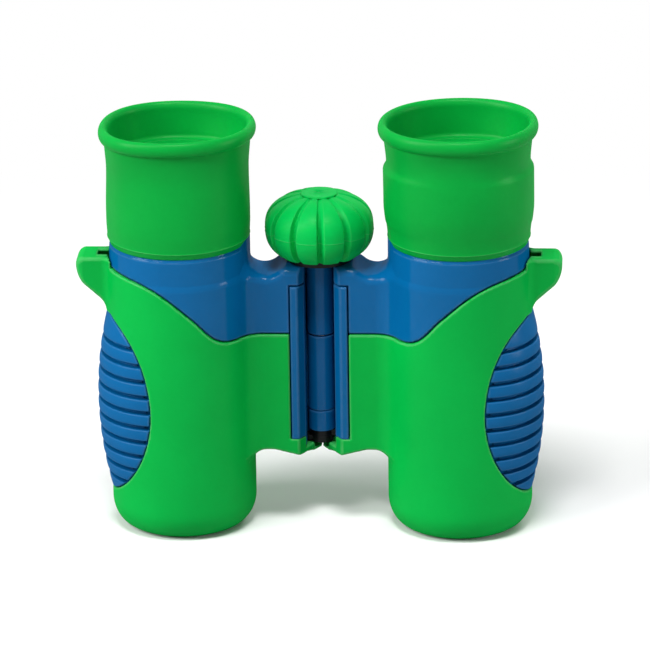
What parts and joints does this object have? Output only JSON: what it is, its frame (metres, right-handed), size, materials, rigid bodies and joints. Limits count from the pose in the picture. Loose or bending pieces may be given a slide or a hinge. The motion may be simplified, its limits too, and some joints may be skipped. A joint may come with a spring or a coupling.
{
  "type": "toy binoculars",
  "caption": "Toy binoculars with ribbed side grips, strap lugs, rubber eyecups, a fluted focus knob and a folding centre hinge.",
  "frame": {"origin": "bottom centre of the overall box: on the standing face of the objective ends, midway between the barrels", "axes": "+Z from the objectives to the eyecups along the barrels, +X across the barrels to the right half, -Y towards the front, where the hinge lies in its open V"},
  "size_m": [0.122, 0.039, 0.1052],
  "materials": {
    "blue_plastic": "semi-gloss moulded",
    "green_armour": "smooth satin rubber skin",
    "green_rubber": "soft matt rubber",
    "black_plastic": "matt moulded",
    "lens_glass": "polished and coated",
    "steel": "turned"
  },
  "bodies": {
    "left_half": {"housing_left": "blue_plastic", "armour_left": "green_armour", "grip_pad_left": "blue_plastic", "hinge_frame_left": "blue_plastic", "hinge_axle": "steel", "eyecup_left": "green_rubber", "eyepiece_tube_left": "black_plastic", "eye_lens_left": "lens_glass", "eye_lens_ring_left": "black_plastic", "field_lens_left": "lens_glass", "prism_cage_left": "black_plastic", "pechan_prism_left": "lens_glass", "roof_prism_left": "lens_glass"},
    "right_half": {"housing_right": "blue_plastic", "armour_right": "green_armour", "grip_pad_right": "blue_plastic", "hinge_frame_right": "blue_plastic", "eyecup_right": "green_rubber", "eyepiece_tube_right": "black_plastic", "eye_lens_right": "lens_glass", "eye_lens_ring_right": "black_plastic", "field_lens_right": "lens_glass", "prism_cage_right": "black_plastic", "pechan_prism_right": "lens_glass", "roof_prism_right": "lens_glass"},
    "focus_wheel": {"focus_knob": "green_rubber", "knob_core": "black_plastic", "focus_screw": "steel"},
    "left_focus": {"focus_arm_left": "black_plastic", "objective_cell_left": "black_plastic", "objective_lens_left": "lens_glass", "objective_ring_left": "black_plastic"},
    "right_focus": {"focus_arm_right": "black_plastic", "objective_cell_right": "black_plastic", "objective_lens_right": "lens_glass", "objective_ring_right": "black_plastic"}
  },
  "joints": [
    {"name": "hinge_fold", "type": "hinge", "parent": "left_half", "child": "right_half", "pos_m": [0, 0.003, 0.045], "axis": [0, 0, -1], "range_deg": [0, 60]},
    {"name": "focus_turn", "type": "hinge", "parent": "left_half", "child": "focus_wheel", "pos_m": [0, 0.003, 0.0776], "axis": [0, 0, 1], "range_deg": [0, 360]},
    {"name": "left_focus_slide", "type": "slide", "parent": "left_half", "child": "left_focus", "axis": [0, 0, -1], "range_m": [0, 0.0012]},
    {"name": "right_focus_slide", "type": "slide", "parent": "right_half", "child": "right_focus", "axis": [0, 0, -1], "range_m": [0, 0.0012]}
  ],
  "couplings": [
    {"joint": "focus_turn", "follows": "left_focus_slide", "rad_per_m": 5236},
    {"joint": "right_focus_slide", "follows": "left_focus_slide", "ratio": 1}
  ]
}
